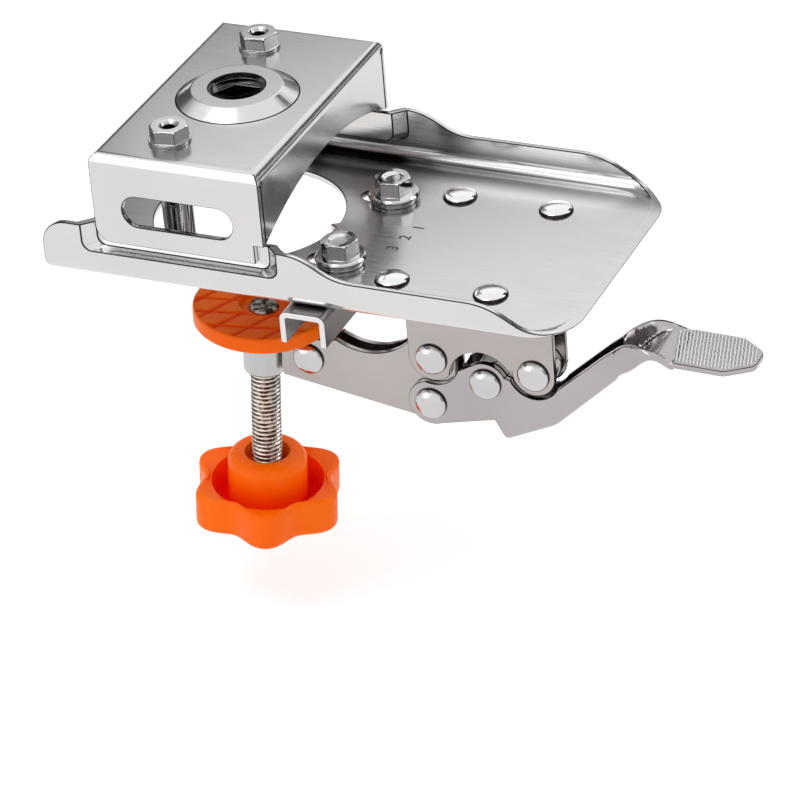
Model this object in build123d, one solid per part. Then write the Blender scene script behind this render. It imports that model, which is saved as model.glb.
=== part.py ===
# Clamp-on drilling jig for the cup and pilot holes of a 35 mm concealed hinge, in millimetres.
# X runs along the jig from the guide end to the lever, Y runs across it, and Z is up.
# The origin lies on the drill axis, at the underside of the base plate, where the door panel rests.
from build123d import *
import math
import os

os.makedirs("parts", exist_ok=True)

# Sheet metal and running fits
sheet = 1.5             # every pressed piece of the jig
pivot_clearance = 0.06  # radial, between a rivet and the piece that turns on it
layer_gap = 0.2         # beside each turning plate of the clamp
slide_gap = 0.1         # between the fence and the plate it slides under
screw_clearance = 0.08  # radial, between the screw and its boss
seam_gap = 0.3          # open corner of the folded cover

# Base plate: a drawn tray, its rim tall beside the cover, low past it and fading round the far corners
plate_left = -37.5
plate_right = 101.4
plate_half_width = 39.4
bend_radius = 3.2       # inside radius of the flange bend
end_corner = 14.0       # plan radius of the two right-hand corners
flange_tall = 15.0
flange_low = 9.4
flange_step_start = 27.0
flange_step_end = 46.0
flange_fade_start = 75.0
flange_fade_end = 97.0
flange_end_radius = 7.0
opening_radius = 24.3
nib_height = 2.0
nib_half_width = 2.0

# Guide cover: one sheet folded down on all four sides over the opening
cover_half_length = 22.8
cover_half_width = 38.0
cover_top = 34.5
cover_bend = 1.1        # inside radius
cover_skirt = 10.4      # lower edge of the front and back walls
skirt_right = 20.2      # the left end of the lower edge is as long as the cover
arch_crown = 23.3       # height of the arched edge of the side walls over the panel
slot_length = 29.8
slot_height = 8.4
slot_level = 20.0
boss_base_radius = 15.4
boss_ring_radius = 11.6
boss_height = 2.6
recess_floor = 8.5      # level ledge of the pressed recess that takes the cover wall
recess_margin = 0.6
recess_corner = 2.5
recess_end_draft = 3.0  # how far each end of the recess slopes out
recess_floor_draft = 0.5
skirt_corner = 4.5
relief_radius = 0.7

# Guides for the cup bit and the two pilot drills
bush_mouth_radius = 7.2
bush_mouth_depth = 1.4
bush_flange_radius = 10.6
bush_flange = 3.0
bush_radius = 8.4
bush_bottom = 18.0
bush_hex = 11.6         # hexagonal socket above the round bore
bush_hex_depth = 7.0
bush_bore = 5.1
pilot_x = -6.0
pilot_y = 26.0
sleeve_radius = 3.85
sleeve_bore = 1.6
sleeve_bottom = 0.6
sleeve_hex = 8.8
sleeve_flange_radius = 5.3
sleeve_flange = 0.9
sleeve_head = 4.3
sleeve_notch_clearance = 0.6
sleeve_turn = 10.0
bush_turn = 0.0
nut_hex = 11.0
nut_height = 4.0

# Edge fence: an inverted channel across the underside, held by two flange bolts in slots
fence_x = 32.6
fence_width = 12.0
fence_height = 8.5
fence_half_length = 41.0
fence_bend = 0.5
fence_travel = 6.0
bolt_y = 16.5
bolt_radius = 2.5
bolt_hole_clearance = 0.2
bolt_length = 9.0       # from the underside of the washer
bolt_hex = 8.4
bolt_head = 4.0
bolt_flange_radius = 6.6
bolt_flange = 1.1
bolt_dish_radius = 2.9
bolt_dish_depth = 0.7
bolt_turn = 10.0
washer_radius = 6.1
washer_thickness = 1.2
fence_nut_hex = 8.0
fence_nut_height = 4.0
fence_nut_turn = 30.0

# Toggle clamp: pivots as (x, z) in the plane of the linkage, with the lever locked
arm_pivot = (49.2, -30.6)
lever_pivot = (48.2, -43.7)
link_pin = (63.5, -35.5)
link_pivot = (76.7, -30.9)
boss_rivet_place = (14.0, -37.4)
arm_gap = 3.0           # between the two arm plates
arm_pivot_lobe = 6.0
arm_left = 6.5
arm_top = -31.8
arm_bottom = -43.3
scallop_center = (30.5, -16.9)
scallop_radius = 16.0
bracket_left = 43.0
bracket_right = 82.4
bracket_lug = 6.2
bracket_link_lug = 5.7
bracket_arch = (62.5, -35.4)
bracket_arch_radius = 8.7
bracket_bend = 0.8
tab_outer = 28.0
tab_corner = 5.0
rivet_near_x = 48.4
rivet_far_x = 74.3
rivet_y = 21.7
lever_lug = 6.2
lever_link_lug = 5.8
lever_running_gap = 1.2  # between the lever cheeks and the lugs of the bracket
lever_heel = (65.4, -45.8)
web_fold = 2.2          # outside radius of the fold along the bottom of the lever
web_path = [(68.2, -50.9), (81.0, -44.8), (107.9, -19.1), (134.6, -19.7)]
web_bends = [9.0, 5.0]
cheek_top = [(80.5, -36.3), (94.6, -23.3), (98.0, -20.5)]
thumb_half_width = 8.3
thumb_corner = (128.0, 3.4)  # where the end starts to narrow, and its half-width at the tip
thumb_corner_radius = 3.0
# Sections of the flare from channel to thumb pad: x, middle of the web, how much of the spread
# to the pad's width the channel has at its foot and at its rim, and the rim's level
flare = [
    (98.0, -28.56, 0.0, 0.0, -20.5),
    (101.5, -25.2, 0.2, 0.34, -17.9),
    (105.0, -21.9, 0.42, 0.7, -16.8),
    (108.5, -19.3, 0.64, 0.93, -17.1),
    (112.0, -19.19, 0.88, 1.0, -18.2),
    (115.5, -19.27, 1.0, 1.0, -18.42),
]
link_end_radius = 4.8
link_play_in = 1.45     # slotted hole of the link, towards its pivot
link_play_side = 0.55
pivot_radius = 2.4
pivot_head_radius = 4.3
pivot_head_height = 2.2
plate_rivet_radius = 2.6
plate_rivet_head = 4.4
plate_rivet_height = 1.7

# Clamp screw, pad and knob, along the screw axis from the level of the arm pivot
screw_tilt = 4.4        # degrees that the locked arm leans the screw
screw_x = 0.8           # where the screw axis passes the level of the arm pivot
screw_radius = 3.92
journal_radius = 2.9
tip_radius = 3.9
tip_thickness = 1.0
tip_hole = 1.2
pad_radius = 18.2
pad_top = 6.3
pad_thickness = 4.5
pad_recess_radius = 6.4
pad_edge = 0.8
pad_recess_depth = 1.7
pad_washer_radius = 6.2
pad_washer_thickness = 1.0
pad_washer_bore_clearance = 0.3
boss_radius = 5.6
boss_top = -0.6
boss_bottom = -13.6
boss_tail_end = 20.0
boss_tail_top = -3.2
boss_tail_bottom = -11.6
knob_top = -39.3
knob_rim = -46.6
knob_bottom = -57.4
knob_dish = 1.3         # how far the rim falls towards the well
knob_hub_radius = 10.4
knob_hub_crown = 3.0
knob_bore_radius = 5.8
knob_bore_depth = 5.0
knob_well_radius = 14.7
knob_well_depth = 7.9
knob_lobe_reach = 20.6
knob_lobe_radius = 5.2
knob_valley_reach = 16.8
knob_lobes = 6
knob_lobe_angle = -68.0
knob_edge = 2.0
knob_nut_hex = 13.0
knob_nut_height = 6.5

bend_outside = bend_radius + sheet
cover_bend_outside = cover_bend + sheet
bolt_seat = sheet + washer_thickness
cover_inner = cover_half_width - sheet
arm_inner = arm_gap / 2
arm_outer = arm_inner + sheet
side_inner = arm_outer + layer_gap
side_outer = side_inner + sheet
link_half = side_inner - layer_gap


def save(name, shape):
    shape.label = name
    export_step(shape, os.path.join("parts", name + ".step"))


def rod(radius, low, high, x=0.0, y=0.0):
    return Pos(x, y, low) * extrude(Circle(radius), high - low)


def hexagon(flats, low, high, x=0.0, y=0.0, turn=0.0):
    outline = RegularPolygon(flats / 2, 6, major_radius=False, rotation=turn)
    return Pos(x, y, low) * extrude(outline, high - low)


def chamfered_hexagon(flats, low, high, x=0.0, y=0.0, turn=0.0):
    # The bevel of a nut or bolt head starts at its flats and cuts the corners at 30 degrees.
    corner = flats / math.sqrt(3)
    drop = (corner - flats / 2 * 0.97) * math.tan(math.radians(30))
    cone = Pos(x, y, high - drop) * extrude(Circle(corner + 0.01), drop, taper=60)
    barrel = rod(corner + 0.01, low, high - drop, x, y)
    return hexagon(flats, low, high, x, y, turn) & (barrel + cone)


def side_solid(outline, y_low, y_high):
    # An outline drawn in X and Z becomes a plate between two values of Y.
    return extrude(Plane.XZ.offset(-y_high) * outline, y_high - y_low)


def side_disc(center, radius):
    return Pos(center[0], center[1]) * Circle(radius)


def cross_pin(center, radius, half_length):
    return side_solid(side_disc(center, radius), -half_length, half_length)


def domed_head(radius, height):
    # A dome over the XY plane: the cap of a sphere through its rim and crown.
    ball = (radius ** 2 + height ** 2) / (2 * height)
    cap = Pos(0, 0, height - ball) * Sphere(ball)
    return cap & extrude(Circle(radius * 1.01), height * 1.01)


def cross_rivet(center, radius, half_grip, head_radius, head_height):
    x, z = center
    rivet = cross_pin(center, radius, half_grip)
    for side in (-1, 1):
        rivet += Pos(x, side * half_grip, z) * Rot(-90 * side, 0, 0) * domed_head(head_radius, head_height)
    return rivet


def tray_block(inset, bend):
    # Inside or outside of the tray at its full height; it runs on past the left end, where the tray is cut.
    middle = (plate_left + plate_right) / 2
    left = plate_left - flange_tall
    outline = Pos((left + plate_right - inset) / 2, 0)
    outline *= Rectangle(plate_right - inset - left, 2 * (plate_half_width - inset))
    outline = fillet(outline.vertices().sort_by(Axis.X)[-2:], end_corner - inset)
    block = Pos(0, 0, inset) * extrude(outline, flange_tall + 2)
    lower = block.faces().sort_by(Axis.Z)[0].edges()
    return fillet(lower.filter_by(lambda e: e.center().X > middle - flange_tall), bend)


def flange_outline():
    # Side view of the tray: tall beside the cover, an S down to the low rim, and a fade at the far end.
    step = (flange_step_end - flange_step_start) * 0.5
    fade = (flange_fade_end - flange_fade_start) * 0.45
    start = (plate_left, flange_tall - flange_end_radius)
    crest = (plate_left + flange_end_radius, flange_tall)
    edge = Line((plate_left, -1), start)
    edge += RadiusArc(start, crest, flange_end_radius)
    edge += Line(crest, (flange_step_start, flange_tall))
    edge += Bezier(
        (flange_step_start, flange_tall), (flange_step_start + step, flange_tall),
        (flange_step_end - step, flange_low), (flange_step_end, flange_low),
    )
    edge += Line((flange_step_end, flange_low), (flange_fade_start, flange_low))
    edge += Bezier(
        (flange_fade_start, flange_low), (flange_fade_start + fade, flange_low),
        (flange_fade_end - fade, sheet * 2), (flange_fade_end, sheet),
    )
    edge += Line((flange_fade_end, sheet), (plate_right + 1, sheet))
    edge += Line((plate_right + 1, sheet), (plate_right + 1, -1))
    edge += Line((plate_right + 1, -1), (plate_left, -1))
    return make_face(edge)


def recess_outline(y, ends, floor, grow):
    # One end of the recess loft: a rounded rectangle upright at y, open at the top.
    half = cover_half_length + recess_margin + ends + grow
    low = recess_floor - floor - grow
    high = flange_tall + 3
    outline = Pos(0, (low + high) / 2) * Rectangle(2 * half, high - low)
    return Plane.XZ.offset(-y) * fillet(outline.vertices().sort_by(Axis.Y)[:2], recess_corner)


def base_plate():
    walls = side_solid(flange_outline(), -plate_half_width - 1, plate_half_width + 1)
    plate = (tray_block(0, bend_outside) - tray_block(sheet, bend_radius)) & walls

    # Recess in each tall flange: the metal is pressed inwards until the cover wall stands on it.
    below_top = Pos(0, 0, flange_tall / 2) * Box(3 * plate_right, 3 * plate_half_width, flange_tall)
    for side in (-1, 1):
        draft = (recess_end_draft, recess_floor_draft)
        pocket = [(plate_half_width, *draft, 0), (cover_inner, 0, 0, 0)]
        behind = [(plate_half_width - sheet, *draft, sheet), (cover_inner - sheet, 0, 0, sheet)]
        plate += loft([recess_outline(side * y, *rest) for y, *rest in behind]) & below_top
        plate -= loft([recess_outline(side * y, *rest) for y, *rest in pocket])

    # Opening over the cup bit with its index nib, room for the sleeves, and holes for the fasteners.
    opening = Circle(opening_radius)
    opening -= Polygon(
        (opening_radius + 1, -nib_half_width), (opening_radius + 1, nib_half_width),
        (opening_radius - nib_height, 0), align=None,
    )
    slot_width = 2 * (bolt_radius + bolt_hole_clearance)
    for side in (-1, 1):
        opening += Pos(pilot_x, side * pilot_y) * Circle(sleeve_radius + sleeve_notch_clearance)
        slot = SlotOverall(fence_travel + slot_width, slot_width)
        opening += Pos(fence_x - fence_travel / 2, side * bolt_y) * slot
        for x in (rivet_near_x, rivet_far_x):
            opening += Pos(x, side * rivet_y) * Circle(plate_rivet_radius)
    return plate - Pos(0, 0, -1) * extrude(opening, sheet + 2)


def rounded_block(half_x, half_y, low, high, corner):
    block = Pos(0, 0, low) * extrude(Rectangle(2 * half_x, 2 * half_y), high - low)
    return fillet(block.faces().sort_by(Axis.Z)[-1].edges(), corner)


def guide_cover():
    half_x = cover_half_length
    half_y = cover_half_width
    outside = rounded_block(half_x, half_y, cover_skirt, cover_top, cover_bend_outside)
    inside = rounded_block(half_x - sheet, half_y - sheet, cover_skirt - 1, cover_top - sheet, cover_bend)
    cover = outside - inside

    # Side walls arch over the panel and stand clear of the flange tops.
    foot = flange_tall + slide_gap * 3
    span = half_y - sheet
    arch = arch_crown - foot
    arch_radius = (span ** 2 + arch ** 2) / (2 * arch)
    under_arch = Plane.YZ * (Pos(0, arch_crown - arch_radius) * Circle(arch_radius))
    under_arch = Pos(-half_x - 1, 0, 0) * extrude(under_arch, 2 * half_x + 2)
    below_foot = Pos(0, 0, foot - 10) * Box(3 * half_x, 2 * span, 20)
    cover -= (under_arch + below_foot) & Box(3 * half_x, 2 * span, 4 * cover_top)

    # Front and back walls: a tongue below the foot, cut back at the right for the fold, and a long slot.
    tongue = Pos((skirt_right - half_x) / 2, cover_skirt + foot) * Rectangle(skirt_right + half_x, 2 * foot)
    tongue = fillet(tongue.vertices().sort_by(Axis.X)[:2].sort_by(Axis.Y)[0], skirt_corner)
    beside = Pos(0, cover_skirt / 2 + foot / 2 - 1) * Rectangle(4 * half_x, foot - cover_skirt + 2) - tongue
    cover -= side_solid(beside, -2 * half_y, 2 * half_y)
    window = Pos(0, slot_level) * SlotOverall(slot_length, slot_height)
    cover -= side_solid(window, -2 * half_y, 2 * half_y)

    # Open seams at the four folded corners, each ending in a round bend relief.
    seam_top = cover_top - cover_bend_outside
    for x_side in (-1, 1):
        for y_side in (-1, 1):
            x = x_side * (half_x - sheet / 2)
            y = y_side * (span - seam_gap / 2)
            seam = Box(2 * sheet, seam_gap, 2 * (seam_top - foot) + 8)
            cover -= Pos(x, y, foot - 4) * seam
            cover -= Pos(x, y, seam_top) * Rot(0, 90, 0) * Cylinder(relief_radius, 2 * sheet)

    # Raised boss round the bit guide: a cone pressed up to a flat ring.
    top = cover_top + boss_height
    ring_under = boss_ring_radius - sheet * 0.4
    base_under = boss_base_radius - sheet * 0.4
    profile = Polygon(
        (bush_mouth_radius, top), (boss_ring_radius, top), (boss_base_radius, cover_top),
        (boss_base_radius + 1, cover_top), (boss_base_radius + 1, cover_top - sheet),
        (base_under, cover_top - sheet), (ring_under, top - sheet), (bush_mouth_radius, top - sheet),
        align=None,
    )
    profile = fillet(profile.vertices().group_by(Axis.Y)[-1].sort_by(Axis.X)[-1], 1.0)
    cover -= rod(boss_base_radius + 1, cover_top - 2 * sheet, cover_top + 1)
    cover += revolve(Plane.XZ * profile, Axis.Z)

    for side in (-1, 1):
        cover -= rod(sleeve_radius, cover_top - 2 * sheet, cover_top + 1, pilot_x, side * pilot_y)
    return cover


def guide_bush():
    top = cover_top + boss_height - sheet
    hex_floor = top - bush_mouth_depth - bush_hex_depth
    bush = rod(bush_flange_radius, top - bush_flange, top) + rod(bush_radius, bush_bottom, top - 1)
    bush = chamfer(bush.edges().group_by(Axis.Z)[0], 0.6)
    bush -= rod(bush_mouth_radius, top - bush_mouth_depth, top + 1)
    bush -= hexagon(bush_hex, hex_floor, top, turn=bush_turn)
    return bush - rod(bush_bore, bush_bottom - 1, top)


def pilot_sleeve(side):
    y = side * pilot_y
    top = cover_top + sleeve_head
    head = chamfered_hexagon(sleeve_hex, cover_top + sleeve_flange, top, pilot_x, y, sleeve_turn)
    sleeve = head + rod(sleeve_flange_radius, cover_top, cover_top + sleeve_flange, pilot_x, y)
    sleeve += rod(sleeve_radius, sleeve_bottom, cover_top + 0.1, pilot_x, y)
    sleeve -= rod(sleeve_bore, sleeve_bottom - 1, top + 1, pilot_x, y)
    mouth = Pos(pilot_x, y, top) * Rot(180, 0, 0) * Cone(sleeve_bore + 0.9, sleeve_bore, 0.9)
    return sleeve - mouth.moved(Pos(0, 0, -0.45))


def sleeve_nut(side):
    y = side * pilot_y
    high = cover_top - sheet
    nut = chamfered_hexagon(nut_hex, -high, nut_height - high, pilot_x, -y)
    nut = Rot(180, 0, 0) * nut
    return nut - rod(sleeve_radius, high - nut_height - 1, high + 1, pilot_x, y)


def bracket_outline():
    lug_left = side_disc(arm_pivot, bracket_lug)
    lug_right = side_disc(link_pivot, bracket_link_lug)
    low = arm_pivot[1]
    wall = Pos((bracket_left + bracket_right) / 2, low / 2) * Rectangle(bracket_right - bracket_left, -low)
    return wall + lug_left + lug_right - side_disc(bracket_arch, bracket_arch_radius)


def edges_along_x(shape, y, z):
    near = lambda e: abs(e.center().Y - y) + abs(e.center().Z - z) < 0.01
    return shape.edges().filter_by(Axis.X).filter_by(near)


def bracket(side):
    # Side wall of the clamp bracket, with a tab folded outwards under the base plate.
    wall = side_solid(bracket_outline(), side_inner, side_outer)
    tab_length = bracket_right - bracket_left
    tab = Pos((bracket_left + bracket_right) / 2, (side_inner + tab_outer) / 2)
    tab_face = tab * Rectangle(tab_length, tab_outer - side_inner)
    tab_face = fillet(tab_face.vertices().sort_by(Axis.Y)[-2:], tab_corner)
    plate = Pos(0, 0, -sheet) * extrude(tab_face, sheet) + wall
    plate = fillet(edges_along_x(plate, side_inner, 0), bracket_bend + sheet)
    plate = fillet(edges_along_x(plate, side_outer, -sheet), bracket_bend)
    for x in (rivet_near_x, rivet_far_x):
        plate -= rod(plate_rivet_radius, -2 * sheet, 1, x, rivet_y)
    for center in (arm_pivot, link_pivot):
        plate -= cross_pin(center, pivot_radius, side_outer + 1)
    return plate if side > 0 else mirror(plate, Plane.XZ)


def plate_rivets():
    rivets = []
    for x in (rivet_near_x, rivet_far_x):
        for side in (-1, 1):
            rivet = rod(plate_rivet_radius, -sheet, sheet)
            rivet += Pos(0, 0, sheet) * domed_head(plate_rivet_head, plate_rivet_height)
            rivet += Pos(0, 0, -sheet) * Rot(180, 0, 0) * domed_head(plate_rivet_head, plate_rivet_height)
            rivets.append(Pos(x, side * rivet_y) * rivet)
    return Compound(children=rivets)


def arm_outline():
    left, top = arm_left, arm_top
    px, pz = arm_pivot
    lx, lz = lever_pivot
    crown = pz + arm_pivot_lobe
    body = Polygon(
        (left, arm_bottom), (lx - 0.8, lz - arm_pivot_lobe), (lx + arm_pivot_lobe, lz),
        (px + arm_pivot_lobe, pz), (px, crown), (px - 12, crown), (left + 14, top + 0.6), (left, top),
        align=None,
    )
    body += side_disc(arm_pivot, arm_pivot_lobe) + side_disc(lever_pivot, arm_pivot_lobe)
    return body - side_disc(scallop_center, scallop_radius)


def arm_plate(side):
    low, high = sorted((side * arm_inner, side * arm_outer))
    plate = side_solid(arm_outline(), low, high)
    for center in (arm_pivot, lever_pivot):
        plate -= cross_pin(center, pivot_radius + pivot_clearance, arm_outer + 1)
    return plate - cross_pin(boss_rivet_place, pivot_radius, arm_outer + 1)


def arm_spacers():
    rings = []
    for center in (arm_pivot, lever_pivot):
        ring = cross_pin(center, arm_pivot_lobe - 1.2, arm_inner)
        rings.append(ring - cross_pin(center, pivot_radius + pivot_clearance, arm_inner + 1))
    return Compound(children=rings)


def lever_outline(end_x):
    web = trace(FilletPolyline(*web_path, radius=web_bends), line_width=sheet)
    lx, lz = lever_pivot
    px, pz = link_pin
    start, knee, crest = web_path[0], web_path[1], web_path[2]
    share = (end_x - knee[0]) / (crest[0] - knee[0])
    end_z = knee[1] + share * (crest[1] - knee[1])
    cheek = Polygon(
        (lx + 1.2, lz - lever_lug + 0.2), lever_heel, start, knee, (end_x, end_z), *reversed(cheek_top),
        (px + 10.5, pz + 1), (px + 5, pz + 2.5), (px - 2.5, pz + 5.2), (px - 9.3, pz + 1.4),
        (lx + 2.5, lz + lever_lug), (lx - 2, lz + 5), align=None,
    )
    cheek += side_disc(lever_pivot, lever_lug) + side_disc(link_pin, lever_link_lug)
    cheek -= side_disc(arm_pivot, bracket_lug + lever_running_gap)
    cheek -= side_disc(link_pivot, bracket_link_lug + lever_running_gap)
    return cheek, web


def flare_section(x, z, low_spread, high_spread, rim):
    # Drawn square to the web, then stretched upright, because the web climbs through it at a slope.
    low_half = side_outer + low_spread * (thumb_half_width - side_outer)
    high_half = side_outer + high_spread * (thumb_half_width - side_outer)
    knee, crest = web_path[1], web_path[2]
    lean = math.cos(math.atan2(crest[1] - knee[1], crest[0] - knee[0])) if x < crest[0] else 1
    rise = (rim - z) * lean
    outline = Polygon(
        (-high_half, rise), (-low_half, -sheet / 2), (low_half, -sheet / 2), (high_half, rise),
        (high_half - sheet, rise), (low_half - sheet, sheet / 2), (sheet - low_half, sheet / 2),
        (sheet - high_half, rise), align=None,
    )
    fold = min(web_fold, (rise + sheet / 2) * 0.4)
    outline = fillet(outline.vertices().sort_by(Axis.Y)[:2], fold)
    return Plane((x, 0, z), (0, 1, 0), (1, 0, 0)) * scale(outline, by=(1, 1 / lean, 1))


def lever_handle():
    flare_start, flare_end = flare[0][0], flare[-1][0]
    cheek, web = lever_outline(flare_start)
    reach = 2 * web_path[-1][0]
    ahead = Pos(flare_start - reach / 2, 0, 0) * Box(reach, reach, reach)
    outer = side_solid(cheek, -side_outer, side_outer) + (side_solid(web, -side_outer, side_outer) & ahead)
    web_line = FilletPolyline(*web_path, radius=web_bends)
    heel_edges = []
    for e in outer.edges():
        c = e.center()
        if abs(abs(c.Y) - side_outer) < 0.01 and c.X > web_path[0][0]:
            off = web_line.distance_to(Vertex(c.X, c.Z, 0))
            if abs(off - sheet / 2) < 0.05:
                heel_edges.append(e)
    outer = fillet(heel_edges, web_fold)
    lever = outer - (side_solid(cheek, -side_inner, side_inner) - side_solid(web, -side_outer, side_outer))
    lever = lever.fuse(loft([flare_section(*station) for station in flare]), tol=0.002)

    # Thumb pad: the web carries on at its full width to a narrowed, rounded end.
    wide = thumb_half_width
    tip = web_path[-1][0]
    corner_x, tip_half = thumb_corner
    plan = Polygon(
        (flare_end, -wide), (corner_x, -wide), (tip, -tip_half), (tip, tip_half), (corner_x, wide),
        (flare_end, wide), align=None,
    )
    plan = fillet(plan.vertices().filter_by(lambda v: v.X > flare_end + 1), thumb_corner_radius)
    lever += side_solid(web, -wide, wide) & Pos(0, 0, -reach) * extrude(plan, reach)

    for center in (lever_pivot, link_pin):
        lever -= cross_pin(center, pivot_radius, side_outer + 1)
    return lever


def toggle_link():
    ax, az = link_pivot
    bx, bz = link_pin
    length = math.hypot(bx - ax, bz - az)
    angle = math.degrees(math.atan2(bz - az, bx - ax))
    bar = Pos(length / 2, 0) * SlotCenterToCenter(length, 2 * link_end_radius)
    bar -= Circle(pivot_radius + pivot_clearance)
    hole_width = 2 * (pivot_radius + link_play_side)
    hole = SlotOverall(link_play_in + hole_width, hole_width)
    bar -= Pos(length - link_play_in / 2, 0) * hole
    return side_solid(Pos(ax, az) * Rot(0, 0, angle) * bar, -link_half, link_half)


def screw_boss():
    boss = rod(boss_radius, boss_bottom, boss_top)
    boss = chamfer(boss.edges().group_by(Axis.Z)[0] + boss.edges().group_by(Axis.Z)[-1], 0.5)
    tail_height = boss_tail_top - boss_tail_bottom
    tail = Pos(boss_tail_end / 2, 0, boss_tail_bottom + tail_height / 2)
    boss += tail * Box(boss_tail_end, arm_gap, tail_height)
    boss -= rod(screw_radius + screw_clearance, boss_bottom - 1, boss_top + 1)
    return screw_place * boss - cross_pin(boss_rivet_place, pivot_radius, arm_inner + 1)


def pressure_pad():
    low = pad_top - pad_thickness
    pad = rod(pad_radius, low, pad_top)
    pad = fillet(pad.edges().group_by(Axis.Z)[-1], pad_edge)
    pad -= rod(pad_recess_radius, pad_top - pad_recess_depth, pad_top + 1)
    return pad - rod(journal_radius + screw_clearance, low - 1, pad_top)


def pad_washer():
    high = pad_top - pad_thickness
    ring = rod(pad_washer_radius, high - pad_washer_thickness, high)
    return ring - rod(journal_radius + pad_washer_bore_clearance, high - 2, high + 1)


def clamp_screw():
    shoulder = pad_top - pad_thickness - pad_washer_thickness
    seat = pad_top - pad_recess_depth
    screw = rod(screw_radius, knob_bottom + 1.0, shoulder)
    screw = chamfer(screw.edges().group_by(Axis.Z)[0], 0.8)
    screw += rod(journal_radius, shoulder - 0.1, seat + 0.1)
    tip = rod(tip_radius, seat, seat + tip_thickness)
    screw += fillet(tip.edges().group_by(Axis.Z)[-1], tip_thickness * 0.6)
    return screw - rod(tip_hole, seat - tip_thickness, seat + 2 * tip_thickness)


def knob():
    outline = Circle(knob_valley_reach)
    reach = knob_lobe_reach - knob_lobe_radius
    lobes = []
    for k in range(knob_lobes):
        angle = math.radians(knob_lobe_angle + k * 360 / knob_lobes)
        lobes.append(Pos(reach * math.cos(angle), reach * math.sin(angle)) * Circle(knob_lobe_radius))
    outline += lobes
    outline = fillet(outline.vertices(), knob_lobe_radius * 0.8)
    body = Pos(0, 0, knob_bottom) * extrude(outline, knob_rim - knob_bottom)
    body = fillet(body.edges().group_by(Axis.Z)[0] + body.edges().group_by(Axis.Z)[-1], knob_edge)
    dish = Cone(knob_well_radius, knob_lobe_reach + 1, knob_dish)
    body -= Pos(0, 0, knob_rim - knob_dish / 2) * dish
    body -= rod(knob_well_radius, knob_rim - knob_well_depth, knob_rim + 1)
    hub = rod(knob_hub_radius, knob_rim - knob_well_depth - 1, knob_top)
    body += fillet(hub.edges().group_by(Axis.Z)[-1], knob_hub_crown)
    body -= rod(knob_bore_radius, knob_top - knob_bore_depth, knob_top + 1)
    body -= hexagon(knob_nut_hex, knob_bottom - 1, knob_bottom + knob_nut_height)
    return body - rod(screw_radius, knob_bottom, knob_top)


def knob_nut():
    nut = chamfered_hexagon(knob_nut_hex, -knob_bottom - knob_nut_height, -knob_bottom - 0.4)
    return Rot(180, 0, 0) * nut - rod(screw_radius, knob_bottom - 1, knob_bottom + knob_nut_height + 1)


def fence_channel():
    low = -slide_gap - fence_height
    outer = Pos(0, low / 2 - slide_gap / 2) * Rectangle(fence_width, fence_height)
    outer = fillet(outer.vertices().sort_by(Axis.Y)[-2:], fence_bend + sheet)
    inner = Pos(0, low / 2 - slide_gap / 2 - sheet) * Rectangle(fence_width - 2 * sheet, fence_height)
    inner = fillet(inner.vertices().sort_by(Axis.Y)[-2:], fence_bend)
    channel = side_solid(Pos(fence_x, 0) * (outer - inner), -fence_half_length, fence_half_length)
    for side in (-1, 1):
        channel -= rod(bolt_radius, -3 * sheet, 1, fence_x, side * bolt_y)
    return channel


def fence_bolt(side):
    y = side * bolt_y
    seat = bolt_seat
    bolt = rod(bolt_radius, seat - bolt_length, seat + 0.1, fence_x, y)
    flange = rod(bolt_flange_radius, seat, seat + bolt_flange, fence_x, y)
    bolt += chamfer(flange.edges().group_by(Axis.Z)[-1], bolt_flange * 0.6)
    top = seat + bolt_flange + bolt_head
    bolt += chamfered_hexagon(bolt_hex, seat + bolt_flange * 0.5, top, fence_x, y, bolt_turn)
    dish = Cone(bolt_dish_radius * 0.6, bolt_dish_radius, bolt_dish_depth)
    return bolt - Pos(fence_x, y, top - bolt_dish_depth / 2) * dish


def fence_washer(side):
    y = side * bolt_y
    ring = rod(washer_radius, sheet + slide_gap, bolt_seat, fence_x, y)
    return ring - rod(bolt_radius, 0, bolt_seat + 1, fence_x, y)


def fence_nut(side):
    y = side * bolt_y
    high = -slide_gap - sheet
    nut = Rot(180, 0, 0) * chamfered_hexagon(
        fence_nut_hex, -high, fence_nut_height - high, fence_x, -y, fence_nut_turn)
    return nut - rod(bolt_radius, high - fence_nut_height - 1, high + 1, fence_x, y)


screw_place = Pos(screw_x, 0, arm_pivot[1]) * Rot(0, screw_tilt, 0)

save("base_plate", base_plate())
save("guide_cover", guide_cover())
save("guide_bush", guide_bush())
for side, word in ((-1, "near"), (1, "far")):
    save("pilot_sleeve_" + word, pilot_sleeve(side))
    save("sleeve_nut_" + word, sleeve_nut(side))
    save("clamp_bracket_" + word, bracket(side))
    save("arm_plate_" + word, arm_plate(side))
    save("fence_bolt_" + word, fence_bolt(side))
    save("fence_washer_" + word, fence_washer(side))
    save("fence_nut_" + word, fence_nut(side))
save("fence_channel", fence_channel())
save("plate_rivets", plate_rivets())
save("arm_spacers", arm_spacers())
save("screw_boss", screw_boss())
save("lever_handle", lever_handle())
save("toggle_link", toggle_link())
save("pressure_pad", screw_place * pressure_pad())
save("pad_washer", screw_place * pad_washer())
save("clamp_screw", screw_place * clamp_screw())
save("knob", screw_place * knob())
save("knob_nut", screw_place * knob_nut())
pins = {
    "arm_pivot_rivet": (arm_pivot, side_outer),
    "link_pivot_rivet": (link_pivot, side_outer),
    "lever_pivot_rivet": (lever_pivot, side_outer),
    "link_pin_rivet": (link_pin, side_outer),
    "boss_rivet": (boss_rivet_place, arm_outer),
}
for name, (place, grip) in pins.items():
    save(name, cross_rivet(place, pivot_radius, grip, pivot_head_radius, pivot_head_height))
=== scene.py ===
import bpy
import bmesh
import math
from mathutils import Matrix, Vector


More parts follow.
